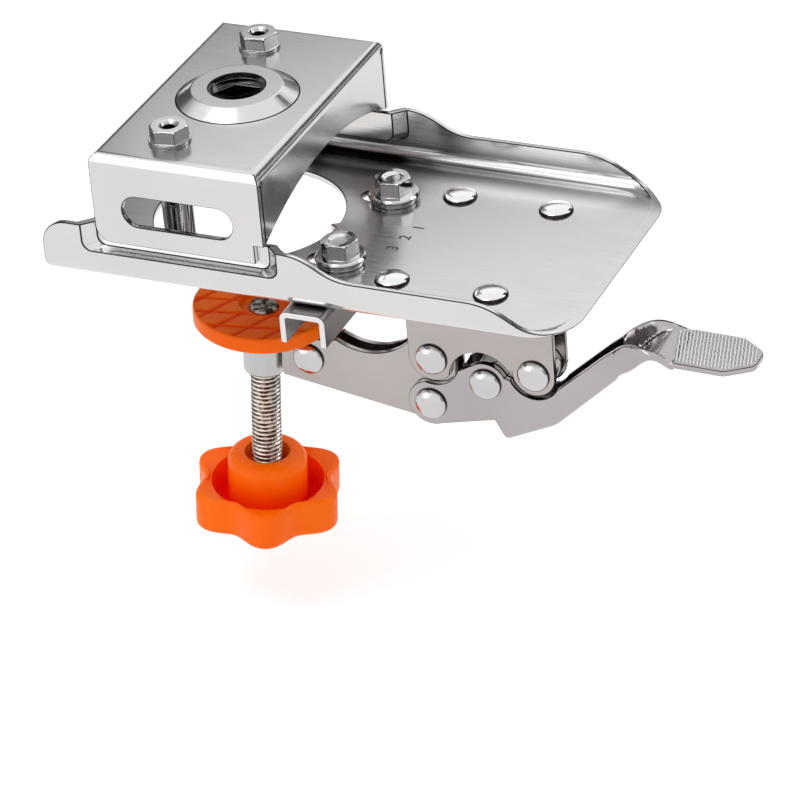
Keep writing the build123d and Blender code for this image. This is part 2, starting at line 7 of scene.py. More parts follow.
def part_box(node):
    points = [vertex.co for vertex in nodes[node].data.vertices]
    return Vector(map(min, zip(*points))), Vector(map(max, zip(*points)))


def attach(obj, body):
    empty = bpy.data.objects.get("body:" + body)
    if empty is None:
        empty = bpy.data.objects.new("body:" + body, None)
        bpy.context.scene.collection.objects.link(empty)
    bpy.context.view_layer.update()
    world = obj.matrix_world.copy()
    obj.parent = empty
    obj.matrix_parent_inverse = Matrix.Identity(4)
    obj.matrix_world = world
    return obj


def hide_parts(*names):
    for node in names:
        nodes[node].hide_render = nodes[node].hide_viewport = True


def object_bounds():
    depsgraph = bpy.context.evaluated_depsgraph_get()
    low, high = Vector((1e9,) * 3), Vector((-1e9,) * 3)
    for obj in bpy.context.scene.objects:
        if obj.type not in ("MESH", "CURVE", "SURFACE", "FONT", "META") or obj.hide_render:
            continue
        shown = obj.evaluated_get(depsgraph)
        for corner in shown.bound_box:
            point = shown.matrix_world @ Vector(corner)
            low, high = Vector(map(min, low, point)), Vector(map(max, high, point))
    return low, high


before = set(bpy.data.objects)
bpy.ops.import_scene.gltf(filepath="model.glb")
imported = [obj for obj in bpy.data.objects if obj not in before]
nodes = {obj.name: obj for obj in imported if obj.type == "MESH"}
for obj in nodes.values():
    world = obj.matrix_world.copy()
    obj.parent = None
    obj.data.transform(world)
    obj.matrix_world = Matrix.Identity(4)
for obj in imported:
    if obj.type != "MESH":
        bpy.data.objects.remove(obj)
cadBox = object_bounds()
mm = 0.001
print("frame loaded:", len(nodes), "nodes")


# Node helpers, for materials and Geometry Nodes alike

def addNode(tree, kind, links=None, **settings):
    node = tree.nodes.new(kind)
    for key, value in settings.items():
        setattr(node, key, value)
    for socket, value in (links or {}).items():
        if isinstance(value, bpy.types.NodeSocket):
            tree.links.new(value, node.inputs[socket])
        else:
            node.inputs[socket].default_value = value
    return node


def calculate(tree, operation, a, b=0.0):
    return addNode(tree, "ShaderNodeMath", {0: a, 1: b}, operation=operation).outputs[0]


def product(tree, value, *others):
    for other in others:
        value = calculate(tree, "MULTIPLY", value, other)
    return value


def vectorMath(tree, operation, *vectors):
    links = dict(enumerate(vectors))
    return addNode(tree, "ShaderNodeVectorMath", links, operation=operation).outputs


def split(tree, vector):
    return addNode(tree, "ShaderNodeSeparateXYZ", {0: vector}).outputs


def combine(tree, parts):
    return addNode(tree, "ShaderNodeCombineXYZ", parts).outputs[0]


def remap(tree, value, fromLow, fromHigh, toLow, toHigh, style="LINEAR"):
    links = {"Value": value, "From Min": fromLow, "From Max": fromHigh,
             "To Min": toLow, "To Max": toHigh}
    return addNode(tree, "ShaderNodeMapRange", links, interpolation_type=style).outputs["Result"]


def mixNumbers(tree, factor, a, b):
    return addNode(tree, "ShaderNodeMix", {0: factor, 2: a, 3: b}, data_type="FLOAT").outputs[0]


def mixColours(tree, factor, a, b):
    a, b = (v if isinstance(v, bpy.types.NodeSocket) else (*v, 1) for v in (a, b))
    links = {0: factor, 6: a, 7: b}
    return addNode(tree, "ShaderNodeMix", links, data_type="RGBA").outputs[2]


def readAttribute(tree, name):
    return addNode(tree, "ShaderNodeAttribute", attribute_name=name).outputs["Fac"]


def objectPlace(tree):
    return addNode(tree, "ShaderNodeTexCoord").outputs["Object"]


def emit(tree, strength, colour=(1, 1, 1, 1)):
    return addNode(tree, "ShaderNodeEmission", {"Color": colour, "Strength": strength}).outputs[0]


def closeShader(tree, shader, kind="ShaderNodeOutputMaterial"):
    addNode(tree, kind, {"Surface": shader})


def addObject(name, data):
    piece = bpy.data.objects.new(name, data)
    bpy.context.collection.objects.link(piece)
    return piece


# Camera, light and floor

studio = {
    # camera
    "eye": (0.4205, -0.7943, 0.48974),
    "right": (0.9171, 0.3922, -0.0719),
    "up": (-0.1492, 0.5048, 0.8503),
    "lens": 180.4, "sensor": 36, "clip": (0.05, 50),
    # lamps, and the place they point at
    "aim": (0.03, 0, -0.02),
    "lamps": [                        # name, place, width, power, colour
        ("keyLamp", (-0.25, -0.35, 0.95), 0.55, 3.0, (1, 0.985, 0.97)),
        ("rimLamp", (0.75, 0.55, 0.55), 0.45, 1.4, (0.97, 0.985, 1)),
    ],
}

# What everything is lit by, and what polished steel mirrors: a bright tent with a dark band at the
# horizon and cards in it. Heights are the sine of the angle over the horizon.
tent = {
    "fill": 0.92,                     # what it gives to everything that isn't polished
    "tone": (0.3, 0.95, 0.98, 0.9),   # a lower and an upper height, and the level at each
    "band": (0.0, 0.20, 0.03),        # lower and upper edge, level
    "bandLow": (-0.02, 0.01),         # how far each edge is soft, below and above it
    "bandHigh": (-0.05, 0.03),
    "bandSide": (-0.5, -0.1),         # it fades out towards the camera's side, along Y
    "cards": [                        # direction, inner and outer angle, level
        ((0.41, 0.77, 0.47), 12, 19, 0.05),
        ((-0.37, -0.77, 0.52), 10, 24, 1.25),
        ((-0.52, -0.81, 0.22), 8, 18, 1.8),
        ((0.90, -0.30, 0.30), 10, 24, 0.35),
        ((-0.95, 0.10, 0.30), 10, 24, 0.40),
    ],
}

# A card up behind the jig, which the level tops mirror: grey at its foot, bright above, in mm
shadedCard = {
    "ray": (-0.37, 0.77, 0.52), "away": 450, "size": (720, 330),
    "ramp": (-45, 30), "tilt": 0.15, "tones": (0.22, 0.98),
    "side": (-84, -44, 0.35),         # where its left end darkens, and to what share
}

ground = {
    "reach": 8,
    "drop": 21.0,                     # mm below the knob, so that the opened arm clears it
    "colour": 0.86,
    "seen": 0.58,                     # how much of its light and shadow the camera sees
    "lift": 0.52,                     # added white where the camera looks at it
    "mirror": 0.95,                   # its level where metal mirrors it
    "tint": (1, 0.985, 0.975, 1),
    # a shaded place that the cover's end wall mirrors: its middle and edges in mm, and its level
    "shade": ((119, 188), (34, 74), 0.10),
}


def makeCamera():
    data = bpy.data.cameras.new("camera")
    data.lens = studio["lens"]
    data.sensor_width = studio["sensor"]
    data.clip_start, data.clip_end = studio["clip"]
    camera = addObject("camera", data)
    right = Vector(studio["right"]).normalized()
    up = Vector(studio["up"])
    up = (up - right * up.dot(right)).normalized()
    turn = Matrix((right, up, right.cross(up))).transposed().to_4x4()
    camera.matrix_world = Matrix.Translation(studio["eye"]) @ turn
    bpy.context.scene.camera = camera


def makeTent():
    world = bpy.data.worlds.new("tent")
    bpy.context.scene.world = world
    world.use_nodes = True
    world.cycles.sampling_method = "NONE"
    tree = world.node_tree
    tree.nodes.clear()
    direction = addNode(tree, "ShaderNodeTexCoord").outputs["Generated"]
    parts = split(tree, direction)
    height = parts["Z"]
    tone = remap(tree, height, *tent["tone"])
    low, high, level = tent["band"]
    over = remap(tree, height, *(low + v for v in tent["bandLow"]), 0, 1, "SMOOTHSTEP")
    under = remap(tree, height, *(high + v for v in tent["bandHigh"]), 1, 0, "SMOOTHSTEP")
    away = remap(tree, parts["Y"], *tent["bandSide"], 0, 1, "SMOOTHSTEP")
    inside = product(tree, calculate(tree, "MINIMUM", over, under), away)
    tone = mixNumbers(tree, inside, tone, level)
    for ray, inner, outer, level in tent["cards"]:
        near = vectorMath(tree, "DOT_PRODUCT", direction, Vector(ray).normalized())["Value"]
        edges = math.cos(math.radians(outer)), math.cos(math.radians(inner))
        tone = mixNumbers(tree, remap(tree, near, *edges, 0, 1, "SMOOTHSTEP"), tone, level)
    path = addNode(tree, "ShaderNodeLightPath").outputs
    lit = mixNumbers(tree, path["Is Glossy Ray"], tent["fill"], tone)
    seen = calculate(tree, "MAXIMUM", path["Is Camera Ray"], path["Is Transmission Ray"])
    strength = mixNumbers(tree, seen, lit, 1.0)
    glow = addNode(tree, "ShaderNodeBackground", {"Color": (1, 1, 1, 1), "Strength": strength})
    closeShader(tree, glow.outputs[0], "ShaderNodeOutputWorld")


def emptyMaterial(name):
    mat = bpy.data.materials.new(name)
    mat.use_nodes = True
    mat.node_tree.nodes.clear()
    return mat, mat.node_tree


def makeCard():
    # faces the jig from where its level tops mirror it; only gloss sees it
    c = shadedCard
    ray = Vector(c["ray"]).normalized()
    side = Vector(studio["right"])
    side = (side - ray * side.dot(ray)).normalized()
    rise = side.cross(ray).normalized()
    wide, tall = (v * mm / 2 for v in c["size"])
    mesh = bpy.data.meshes.new("shadedCard")
    corners = [(-wide, -tall), (wide, -tall), (wide, tall), (-wide, tall)]
    middle = ray * c["away"] * mm
    mesh.from_pydata([middle + side * a + rise * b for a, b in corners], [], [(0, 1, 2, 3)])
    ramp = mesh.attributes.new("rampPlace", "FLOAT", "POINT")
    across = mesh.attributes.new("sidePlace", "FLOAT", "POINT")
    for k, (a, b) in enumerate(corners):
        ramp.data[k].value = (b + a * c["tilt"]) / mm
        across.data[k].value = a / mm
    card = addObject("shadedCard", mesh)
    mat, tree = emptyMaterial("shadedCard")
    tone = remap(tree, readAttribute(tree, "rampPlace"), *c["ramp"], *c["tones"])
    start, end, share = c["side"]
    left = remap(tree, readAttribute(tree, "sidePlace"), start, end, share, 1, "SMOOTHSTEP")
    closeShader(tree, emit(tree, product(tree, tone, left)))
    mesh.materials.append(mat)
    card.visible_camera = card.visible_diffuse = False
    card.visible_shadow = card.visible_transmission = False


def makeLamps():
    for name, spot, width, power, colour in studio["lamps"]:
        data = bpy.data.lights.new(name, "AREA")
        data.shape = "DISK"
        data.size = width
        data.energy = power
        data.color = colour
        lamp = addObject(name, data)
        lamp.location = spot
        lamp.rotation_mode = "QUATERNION"
        aim = Vector(studio["aim"]) - Vector(spot)
        lamp.rotation_quaternion = aim.to_track_quat("-Z", "Y")


def makeFloor():
    low = cadBox[0].z - ground["drop"] * mm
    far = ground["reach"]
    mesh = bpy.data.meshes.new("floor")
    corners = [(-far, -far, low), (far, -far, low), (far, far, low), (-far, far, low)]
    mesh.from_pydata(corners, [], [(0, 1, 2, 3)])
    floor = addObject("floor", mesh)
    mat, tree = emptyMaterial("paleFloor")
    path = addNode(tree, "ShaderNodeLightPath").outputs
    seen = calculate(tree, "MAXIMUM", path["Is Camera Ray"], path["Is Transmission Ray"])
    tone = mixNumbers(tree, seen, ground["colour"], ground["seen"])
    grey = addNode(tree, "ShaderNodeCombineColor", {0: tone, 1: tone, 2: tone}).outputs[0]
    matt = addNode(tree, "ShaderNodeBsdfDiffuse", {"Color": grey}).outputs[0]
    glow = emit(tree, product(tree, seen, ground["lift"]))
    both = addNode(tree, "ShaderNodeAddShader", {0: matt, 1: glow}).outputs[0]
    (x, y), edges, level = ground["shade"]
    away = vectorMath(tree, "DISTANCE", objectPlace(tree), (x * mm, y * mm, low))["Value"]
    edges = (v * mm for v in edges)
    mirrored = remap(tree, away, *edges, level, ground["mirror"], "SMOOTHSTEP")
    gleam = emit(tree, mirrored, ground["tint"])
    choice = {0: path["Is Glossy Ray"], 1: both, 2: gleam}
    closeShader(tree, addNode(tree, "ShaderNodeMixShader", choice).outputs[0])
    mesh.materials.append(mat)


makeCamera()
makeTent()
makeLamps()
makeFloor()
makeCard()
bpy.context.scene.view_settings.view_transform = "Standard"
print("studio ready")


# Finishes. Steel has a light and a dark tone that cloud into each other, a lowest and a highest
# roughness, and a grain, stretched along the strip where it was rolled.

steelTones = {
    # finish: material, light tone, dark tone, roughness, and what differs in the grain
    "sheet": ("polishedSheet", (0.81, 0.80, 0.79), (0.76, 0.76, 0.765), (0.14, 0.22), {}),
    "plate": ("plateSheet", (0.81, 0.80, 0.79), (0.76, 0.76, 0.765), (0.14, 0.22), {}),
    "clamp": ("clampSheet", (0.56, 0.52, 0.51), (0.48, 0.445, 0.435), (0.14, 0.22), {}),
    "lever": ("leverSheet", (0.55, 0.525, 0.525), (0.47, 0.445, 0.445), (0.11, 0.18),
              {"scratch": 0.006}),
    "ridge": ("ridgedPad", (0.93, 0.92, 0.92), (0.80, 0.79, 0.79), (0.18, 0.30),
              {"stretch": (1, 1, 1), "grain": 400}),
    "fence": ("fenceSheet", (0.40, 0.39, 0.39), (0.30, 0.29, 0.29), (0.14, 0.22),
              {"stretch": (22, 1, 22)}),
    "etched": ("etchedMark", (0.16, 0.13, 0.13), (0.10, 0.08, 0.08), (0.3, 0.4),
               {"stretch": (1, 1, 1), "grain": 200}),
    "plated": ("brightPlate", (0.84, 0.84, 0.84), (0.78, 0.78, 0.79), (0.05, 0.10),
               {"stretch": (1, 1, 1), "grain": 300}),
    # the fastener's dark tone is a painted reflection on its sides; its tops are made bright again
    # below
    "fastener": ("fastenerSteel", (0.33, 0.32, 0.33), (0.19, 0.185, 0.19), (0.05, 0.10),
                 {"stretch": (1, 1, 1), "grain": 300}),
    "guide": ("guideSteel", (0.84, 0.84, 0.84), (0.78, 0.78, 0.79), (0.05, 0.10),
              {"stretch": (1, 1, 1), "grain": 300}),
    "rivet": ("rivetDome", (0.72, 0.71, 0.72), (0.64, 0.63, 0.64), (0.12, 0.18),
              {"stretch": (1, 1, 1), "grain": 260}),
    "tabRivet": ("tabDome", (0.97, 0.97, 0.98), (0.92, 0.92, 0.93), (0.05, 0.10),
                 {"stretch": (1, 1, 1), "grain": 260}),
    "satin": ("satinCollar", (0.66, 0.66, 0.65), (0.60, 0.60, 0.59), (0.26, 0.36),
              {"stretch": (16, 16, 1), "grain": 120}),
}
steelSkin = {"cloudScale": 24, "smearStretch": (1, 3, 2), "smearScale": 60, "smearDetail": 2.0,
             "smear": (-0.015, 0.025), "bump": 0.35}
noiseSpan = (0.3, 0.7)                # the part of a noise's range that is used
paintedDarkTone = (0.035, 0.03, 0.03)        # painted dark tone: the dark lines on edge rounds, standing in for reflections, and the painted shade at the feet of rivet domes
endSpan = (0.6, 0.8)                  # how square to the axis a face is before it counts as an end
ends = {"fence": ("Y", (0.88, 0.87, 0.86)), "fastener": ("Z", (0.86, 0.86, 0.87))}
footShadeStarts = {"rivet": 0.955, "tabRivet": 0.90}         # where a dome's painted dark foot starts, of its reach
footShadeSpan = 0.03
boreSoft = 0.2                        # mm over which the painted shade inside a bore begins
# painted shade inside the guide's bore: its reach in mm and its tone
guideBoreShade = {"reach": 7.25, "tone": (0.20, 0.195, 0.19)}
# painted shade inside the far fold, in mm: from start to full along Y, between heights under and
# over
foldShade = {"start": 25.0, "full": 33.5, "under": (1.0, 1.4), "over": (2.2, 3.0),
             "along": (38.0, 96.0), "share": 0.7, "tone": (0.05, 0.048, 0.046)}
plastic = {
    # the cavity tone is the painted shade in the knob's well and the pad's grooves
    "light": (1.0, 0.17, 0.0), "deep": (1.0, 0.13, 0.0), "shadedCavity": (0.98, 0.004, 0.0),
    "driftScale": 40, "skinScale": 600, "skinDetail": 1.0, "rough": (0.24, 0.34),
    "inside": 0.12, "insideRadius": (1.0, 0.25, 0.05), "insideScale": 0.003,
    "gloss": 0.14, "bump": 0.15, "bumpDepth": 0.002,
}
thread = {
    "crest": (0.90, 0.85, 0.79), "root": (0.07, 0.045, 0.03), "rough": (0.16, 0.42),
    "dirtStretch": (1, 1, 0.4), "dirtScale": 700, "dirtSpan": (0.35, 0.65), "dirt": (-0.3, 0.3),
    "wornAndShadedSpan": (0.1, 0.9),
}


def newFinish(name, metallic):
    mat = bpy.data.materials.new(name)
    mat.use_nodes = True
    shader = mat.node_tree.nodes["Principled BSDF"]
    shader.inputs["Metallic"].default_value = metallic
    return mat, mat.node_tree, shader


def noiseOn(tree, stretch, scale, detail=3.0):
    spread = {"Vector": objectPlace(tree), "Scale": stretch}
    turned = addNode(tree, "ShaderNodeMapping", spread).outputs[0]
    noise = {"Vector": turned, "Scale": scale, "Detail": detail}
    return addNode(tree, "ShaderNodeTexNoise", noise).outputs["Fac"]


def addBump(tree, shader, strength, depth, height):
    links = {"Strength": strength, "Distance": depth * mm, "Height": height}
    tree.links.new(addNode(tree, "ShaderNodeBump", links).outputs[0], shader.inputs["Normal"])


def polishedSteel(name, light, dark, rough, stretch=(1, 22, 22), grain=90, scratch=0.02):
    # fine grain, slow clouding of the tone, faint smears in the gloss, and painted dark lines,
    # standing in for reflections, on the edge rounds that the mesh marks
    mat, tree, shader = newFinish(name, 1.0)
    s = steelSkin
    fine = noiseOn(tree, stretch, grain)
    cloud = remap(tree, noiseOn(tree, (1, 1, 1), s["cloudScale"]), *noiseSpan, 0, 1)
    smear = noiseOn(tree, s["smearStretch"], s["smearScale"], s["smearDetail"])
    smear = remap(tree, smear, *noiseSpan, *s["smear"])
    rolled = mixColours(tree, cloud, dark, light)
    tone = mixColours(tree, readAttribute(tree, "paintedEdgeLine"), rolled, paintedDarkTone)
    tree.links.new(tone, shader.inputs["Base Color"])
    gloss = calculate(tree, "ADD", remap(tree, fine, *noiseSpan, *rough), smear)
    tree.links.new(gloss, shader.inputs["Roughness"])
    addBump(tree, shader, s["bump"], scratch, fine)
    return mat


def repaint(mat, share, tone):
    # mixes a tone over the finish's own colour
    tree = mat.node_tree
    base = tree.nodes["Principled BSDF"].inputs["Base Color"]
    own = base.links[0].from_socket
    tree.links.new(mixColours(tree, share, own, tone), base)


def brightEnds(mat, axis, bright):
    # the sheared ends of a strip, or the tops of a fastener over the painted dark reflection of its
    # sides, square to an axis
    tree = mat.node_tree
    facing = split(tree, addNode(tree, "ShaderNodeNewGeometry").outputs["Normal"])
    square = calculate(tree, "ABSOLUTE", facing[axis])
    repaint(mat, remap(tree, square, *endSpan, 0, 1), bright)


def paintBoreShade(mat, node, b):
    # painted shade: the inside of a turned guide, near its own upright axis, is made dark
    tree = mat.node_tree
    low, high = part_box(node)
    middle = vectorMath(tree, "SUBTRACT", objectPlace(tree), (low + high) / 2)["Vector"]
    flat = vectorMath(tree, "MULTIPLY", middle, (1, 1, 0))["Vector"]
    away = vectorMath(tree, "LENGTH", flat)["Value"]
    reach = b["reach"]
    repaint(mat, remap(tree, away, reach * mm, (reach + boreSoft) * mm, 1, 0), b["tone"])


def paintFootShade(mat, start):
    # painted shade: the steep foot of a rivet's dome is made dark
    tree = mat.node_tree
    rim = readAttribute(tree, "rimPlace")
    repaint(mat, remap(tree, rim, start, start + footShadeSpan, 0, 1), paintedDarkTone)


def paintFoldShade(mat, f):
    # painted shade: the inside of the far fold is made dark up to the bend
    tree = mat.node_tree
    x, y, z = split(tree, objectPlace(tree))
    foldShadeShare = remap(tree, y, f["start"] * mm, f["full"] * mm, 0, 1, "SMOOTHSTEP")
    limits = ((z, *f["under"], 0, 1), (z, *f["over"], 1, 0), (x, *f["along"], 1, f["share"]))
    for value, low, high, first, last in limits:
        part = remap(tree, value, low * mm, high * mm, first, last, "SMOOTHSTEP")
        foldShadeShare = product(tree, foldShadeShare, part)
    repaint(mat, foldShadeShare, f["tone"])


def mouldedPlastic(name):
    # glossy plastic: slow colour drift, a faint skin, light from inside, and a painted shade that
    # makes cavities redder where the mesh marks them
    mat, tree, shader = newFinish(name, 0.0)
    p = plastic
    drift = remap(tree, noiseOn(tree, (1, 1, 1), p["driftScale"]), *noiseSpan, 0, 1)
    skin = noiseOn(tree, (1, 1, 1), p["skinScale"], p["skinDetail"])
    moulded = mixColours(tree, drift, p["deep"], p["light"])
    tone = mixColours(tree, readAttribute(tree, "cavityShade"), moulded, p["shadedCavity"])
    tree.links.new(tone, shader.inputs["Base Color"])
    tree.links.new(remap(tree, skin, *noiseSpan, *p["rough"]), shader.inputs["Roughness"])
    shader.inputs["Subsurface Weight"].default_value = p["inside"]
    shader.inputs["Subsurface Radius"].default_value = p["insideRadius"]
    shader.inputs["Subsurface Scale"].default_value = p["insideScale"]
    shader.inputs["Specular IOR Level"].default_value = p["gloss"]
    addBump(tree, shader, p["bump"], p["bumpDepth"], skin)
    return mat


def rolledThread(name):
    # bright worn crests over darker brown roots, from the thread's own depth, and the tip's painted
    # shade
    mat, tree, shader = newFinish(name, 1.0)
    t = thread
    dirt = noiseOn(tree, t["dirtStretch"], t["dirtScale"])
    dirt = remap(tree, dirt, *t["dirtSpan"], *t["dirt"])
    wornAndShaded = calculate(tree, "ADD", readAttribute(tree, "threadDepthAndTipShade"), dirt)
    deep = remap(tree, wornAndShaded, *t["wornAndShadedSpan"], 0, 1)
    tree.links.new(mixColours(tree, deep, t["crest"], t["root"]), shader.inputs["Base Color"])
    tree.links.new(remap(tree, wornAndShaded, 0, 1, *t["rough"]), shader.inputs["Roughness"])
    return mat


finishes = {}
for finish, (name, light, dark, rough, grain) in steelTones.items():
    finishes[finish] = polishedSteel(name, light, dark, rough, **grain)
finishes["thread"] = rolledThread("rolledThread")
finishes["orange"] = mouldedPlastic("orangePlastic")
paintFoldShade(finishes["plate"], foldShade)
paintBoreShade(finishes["guide"], "guide_bush", guideBoreShade)
for finish, start in footShadeStarts.items():
    paintFootShade(finishes[finish], start)
for finish, (axis, bright) in ends.items():
    brightEnds(finishes[finish], axis, bright)
print("finishes ready")


# Mesh helpers

def evaluated(piece):
    solved = piece.evaluated_get(bpy.context.evaluated_depsgraph_get())
    return bpy.data.meshes.new_from_object(solved)


def place(name, mesh, finish, body, slotName, *replaced):
    if finish:
        mesh.materials.clear()
        mesh.materials.append(finish)
    piece = addObject(name, mesh)
    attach(piece, body)
    if replaced:
        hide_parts(*replaced)


# mm, degrees; tightFolds are the stretches along X where the folds leave no room for a round
edgeWork = {"merge": 0.002, "flat": 0.4, "sharp": 34, "segments": 2, "flatWeight": 80,
            "tightFolds": {"lever_handle": (97.5, 116.5)}}


def finishedCopy(node, edge, lines):
    # the node's own shape, merged, with a small round on its sharp edges and clean shading on its
    # flats; the rounds' faces carry a mark for the painted dark lines that stand in for reflections
    e = edgeWork
    source = nodes[node].data
    mesh = bpy.data.meshes.new(node + "Mesh")
    faces = [p.vertices[:] for p in source.polygons]
    mesh.from_pydata([v.co[:] for v in source.vertices], [], faces)
    shape = bmesh.new()
    shape.from_mesh(mesh)
    bmesh.ops.remove_doubles(shape, verts=shape.verts, dist=e["merge"] * mm)
    flat = math.radians(e["flat"])
    bmesh.ops.dissolve_limit(shape, angle_limit=flat, verts=shape.verts, edges=shape.edges)
    for face in shape.faces:
        face.smooth = True
    weights = shape.edges.layers.float.new("bevel_weight_edge")
    low, high = e["tightFolds"].get(node, (0, 0))
    for side in shape.edges:
        x = (side.verts[0].co.x + side.verts[1].co.x) / 2 / mm
        sharp = side.is_manifold and side.calc_face_angle() > math.radians(e["sharp"])
        if sharp and not low < x < high:
            side[weights] = 1.0
    shape.to_mesh(mesh)
    shape.free()
    mesh.materials.append(finishes["plated"])
    mesh.materials.append(finishes["etched"])     # marks the rounds until their painted dark line is written
    piece = addObject(node + "Work", mesh)
    bevel = piece.modifiers.new("edge", "BEVEL")
    bevel.width = edge * mm
    bevel.segments = e["segments"]
    bevel.limit_method = "WEIGHT"
    bevel.material = 1
    bevel.use_clamp_overlap = False
    weigh = piece.modifiers.new("flats", "WEIGHTED_NORMAL")
    weigh.weight = e["flatWeight"]
    done = evaluated(piece)
    bpy.data.objects.remove(piece)
    layer = done.attributes.new("paintedEdgeLine", "FLOAT", "FACE")
    for k, face in enumerate(done.polygons):
        layer.data[k].value = lines * face.material_index
        face.material_index = 0
    return done


loopSharp = 38                        # degrees from which an edge of a looped mesh is sharp


def loopMesh(name, rings, count, closed=True):
    # rings of (radius or radius function, height), joined round the axis; closed joins the last
    # ring to the first, and otherwise both ends get a cap
    shape = bmesh.new()
    rows = []
    for radius, height in rings:
        row = []
        for k in range(count):
            angle = 2 * math.pi * k / count
            r = radius(angle) if callable(radius) else radius
            spot = (r * math.cos(angle) * mm, r * math.sin(angle) * mm, height * mm)
            row.append(shape.verts.new(spot))
        rows.append(row)
    pairs = list(zip(rows, rows[1:])) + ([(rows[-1], rows[0])] if closed else [])
    for low, high in pairs:
        for k in range(count):
            after = (k + 1) % count
            shape.faces.new((low[k], low[after], high[after], high[k]))
    if not closed:
        shape.faces.new(rows[0])
        shape.faces.new(list(reversed(rows[-1])))
    for face in shape.faces:
        face.smooth = True
    bmesh.ops.recalc_face_normals(shape, faces=shape.faces)
    mesh = bpy.data.meshes.new(name)
    shape.to_mesh(mesh)
    shape.free()
    mesh.set_sharp_from_angle(angle=math.radians(loopSharp))
    return mesh


def profile(radius, height, steps):
    # ring places given by their distances from one place
    return [(radius + out, height + up) for out, up in steps]


def quarter(steps, skipped=0):
    # angles of a rounded edge, without the skipped ones at each end
    return [math.radians(90 * k / steps) for k in range(skipped, steps + 1 - skipped)]


def newTree(name, sizes):
    tree = bpy.data.node_groups.new(name, "GeometryNodeTree")
    socket = tree.interface.new_socket
    socket(name="Geometry", in_out="INPUT", socket_type="NodeSocketGeometry")
    for label, value in sizes.items():
        kind = "NodeSocketInt" if isinstance(value, int) else "NodeSocketFloat"
        socket(name=label, in_out="INPUT", socket_type=kind)
    socket(name="Geometry", in_out="OUTPUT", socket_type="NodeSocketGeometry")
    return tree, tree.nodes.new("NodeGroupInput").outputs, tree.nodes.new("NodeGroupOutput")


def namedInput(tree, name, kind="FLOAT"):
    links = {"Name": name}
    return addNode(tree, "GeometryNodeInputNamedAttribute", links, data_type=kind).outputs[0]


def storeNumber(tree, geometry, name, value):
    links = {"Geometry": geometry, "Name": name, "Value": value}
    kinds = {"data_type": "FLOAT", "domain": "POINT"}
    return addNode(tree, "GeometryNodeStoreNamedAttribute", links, **kinds).outputs[0]


def changed(tree, kind, geometry, links=None):
    # a node that takes geometry in its first socket and gives it back
    return addNode(tree, kind, {0: geometry, **(links or {})}).outputs[0]


def noiseShift(tree, scale, detail, reach):
    # noise at each point, centred on nought
    links = {"Vector": addNode(tree, "GeometryNodeInputPosition").outputs[0],
             "Scale": scale, "Detail": detail}
    noise = addNode(tree, "ShaderNodeTexNoise", links).outputs["Fac"]
    return product(tree, calculate(tree, "SUBTRACT", noise, 0.5), reach)


def closeTree(tree, geometry, out, finish):
    real = changed(tree, "GeometryNodeRealizeInstances", geometry)
    dressed = changed(tree, "GeometryNodeSetMaterial", real, {"Material": finish})
    tree.links.new(dressed, out.inputs[0])


def growMesh(mesh, tree, sizes):
    # runs a tree on a mesh with its sizes set, and gives back a plain mesh
    piece = addObject("grow", mesh)
    grow = piece.modifiers.new("grow", "NODES")
    grow.node_group = tree
    for item in tree.interface.items_tree:
        if item.in_out == "INPUT" and item.name in sizes:
            grow[item.identifier] = sizes[item.name]
    done = evaluated(piece)
    bpy.data.objects.remove(piece)
    return done


# Folded sheet and turned pieces: node, body, slot, finish, edge round in mm

sheetWork = [
    ("base_plate", "base", "plate_steel", "plate", 0.24),
    ("guide_cover", "base", "cover_steel", "sheet", 0.22),
    ("fence_channel", "fence", "fence_steel", "fence", 0.18),
    ("clamp_bracket_near", "base", "clamp_steel", "clamp", 0.16),
    ("clamp_bracket_far", "base", "clamp_steel", "clamp", 0.16),
    ("arm_plate_near", "arm", "clamp_steel", "clamp", 0.16),
    ("arm_plate_far", "arm", "clamp_steel", "clamp", 0.16),
    ("arm_spacers", "arm", "clamp_steel", "clamp", 0.1),
    ("toggle_link", "link", "clamp_steel", "clamp", 0.16),
    ("lever_handle", "lever", "lever_steel", "lever", 0.16),
]
turnedWork = [
    ("guide_bush", "base", "guide_steel", "guide", 0.12),
    ("pilot_sleeve_near", "base", "guide_steel", "fastener", 0.12),
    ("pilot_sleeve_far", "base", "guide_steel", "fastener", 0.12),
    ("sleeve_nut_near", "base", "fastener_steel", "plated", 0.12),
    ("sleeve_nut_far", "base", "fastener_steel", "plated", 0.12),
    ("screw_boss", "arm", "boss_steel", "satin", 0.12),
    ("pad_washer", "pad", "fastener_steel", "plated", 0.08),
    ("knob_nut", "screw", "fastener_steel", "plated", 0.1),
    ("fence_bolt_near", "fence", "fastener_steel", "fastener", 0.12),
    ("fence_bolt_far", "fence", "fastener_steel", "fastener", 0.12),
    ("fence_washer_near", "fence", "fastener_steel", "fastener", 0.1),
    ("fence_washer_far", "fence", "fastener_steel", "fastener", 0.1),
    ("fence_nut_near", "fence", "fastener_steel", "plated", 0.1),
    ("fence_nut_far", "fence", "fastener_steel", "plated", 0.1),
]
paintedEdgeLines = {"sheet": 1.0, "turned": 0.8}         # how dark the painted lines on the rounds are

for work, lines in ((sheetWork, paintedEdgeLines["sheet"]), (turnedWork, paintedEdgeLines["turned"])):
    for node, body, slotName, finish, edge in work:
        mesh = finishedCopy(node, edge, lines)
        place(node + "_finished", mesh, finishes[finish], body, slotName, node)
print("sheet and turned pieces finished")


# Rivet heads. A pivot's rivet shows a head on each side, its middle at the grip's reach from the
# jig's centre plane; the four tab rivets show one over the plate and one under it.

